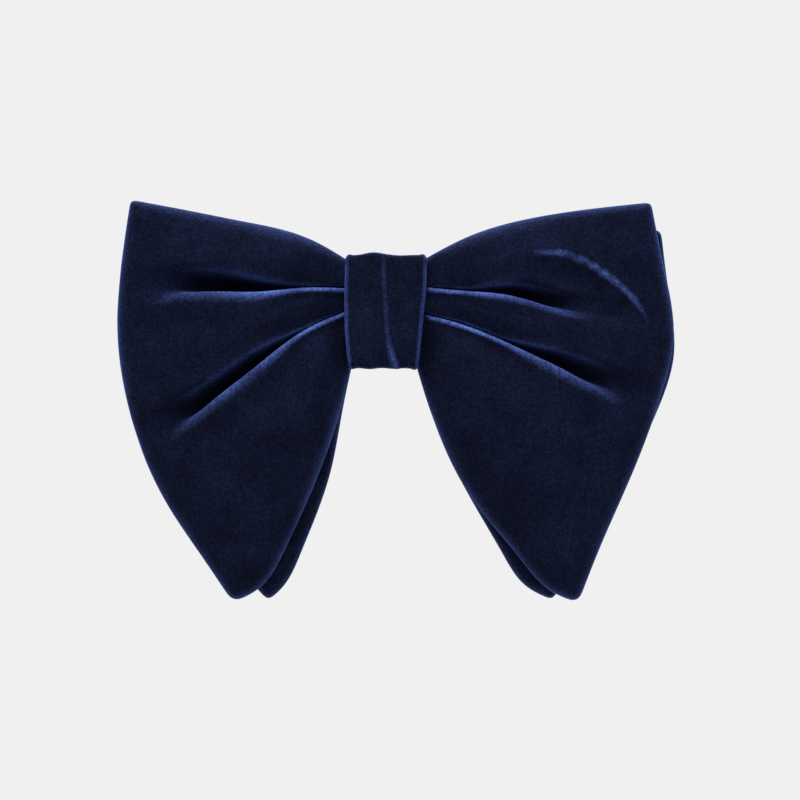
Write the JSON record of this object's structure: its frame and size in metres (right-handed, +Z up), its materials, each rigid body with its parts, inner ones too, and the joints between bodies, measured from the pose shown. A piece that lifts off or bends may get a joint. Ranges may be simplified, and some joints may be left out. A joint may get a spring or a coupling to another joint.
{
  "type": "bow tie",
  "caption": "Pre-tied drooping butterfly bow tie in dark blue velvet with layered wings, a wrapped knot and an adjustable neck band closed by a hook and eye.",
  "frame": {"origin": "centre of the neck loop, at the band's mid height", "axes": "+Z up as worn, -Y the way the wearer faces, +X the wearer's left (the viewer's right)"},
  "size_m": [0.1503, 0.1533, 0.1078],
  "materials": {
    "velvet": "dark blue cut-pile velvet",
    "interlining": "matt woven interlining",
    "lining_satin": "dark blue satin",
    "band_satin": "dark blue satin ribbon",
    "thread": "dark blue sewing thread",
    "fitting_metal": "nickel-plated steel"
  },
  "bodies": {
    "bow": {"front_left_velvet": "velvet", "front_left_interlining": "interlining", "front_left_lining": "lining_satin", "front_right_velvet": "velvet", "front_right_interlining": "interlining", "front_right_lining": "lining_satin", "back_left_velvet": "velvet", "back_left_interlining": "interlining", "back_left_lining": "lining_satin", "back_right_velvet": "velvet", "back_right_interlining": "interlining", "back_right_lining": "lining_satin", "waist_thread": "thread", "knot_padding": "interlining", "knot_wrap": "velvet", "knot_stitches": "thread", "right_band": "band_satin", "return_run": "band_satin"},
    "left_band": {"left_band": "band_satin"},
    "clasp_tail": {"clasp_tail": "band_satin", "tail_stitches": "thread"},
    "hook": {"hook": "fitting_metal"},
    "slider": {"slider": "fitting_metal", "slider_loop": "band_satin", "slider_stitches": "thread"},
    "eye": {"eye": "fitting_metal"}
  },
  "joints": [
    {"name": "left_band_flex", "type": "hinge", "parent": "bow", "child": "left_band", "pos_m": [-0.0119, -0.0666, 0], "axis": [0, 0, 1], "range_deg": [0, 20]},
    {"name": "clasp_tail_flex", "type": "hinge", "parent": "left_band", "child": "clasp_tail", "pos_m": [-0.04568, 0.04568, 0], "axis": [0, 0, 1], "range_deg": [0, 80]},
    {"name": "hook_turn", "type": "hinge", "parent": "clasp_tail", "child": "hook", "pos_m": [-0.01025, 0.06469, 0], "axis": [0, 0, 1], "range_deg": [0, 70]},
    {"name": "eye_turn", "type": "hinge", "parent": "bow", "child": "eye", "pos_m": [0.00937, 0.0667, 0], "axis": [0, 0, 1], "range_deg": [0, 40]},
    {"name": "slider_travel", "type": "hinge", "parent": "bow", "child": "slider", "pos_m": [0, 0, 0], "axis": [0, 0, 1], "range_deg": [-16, 20], "deforming": ["return_run"]}
  ],
  "couplings": [
    {"joint": "left_band_flex", "follows": "clasp_tail_flex", "ratio": 0.25}
  ]
}
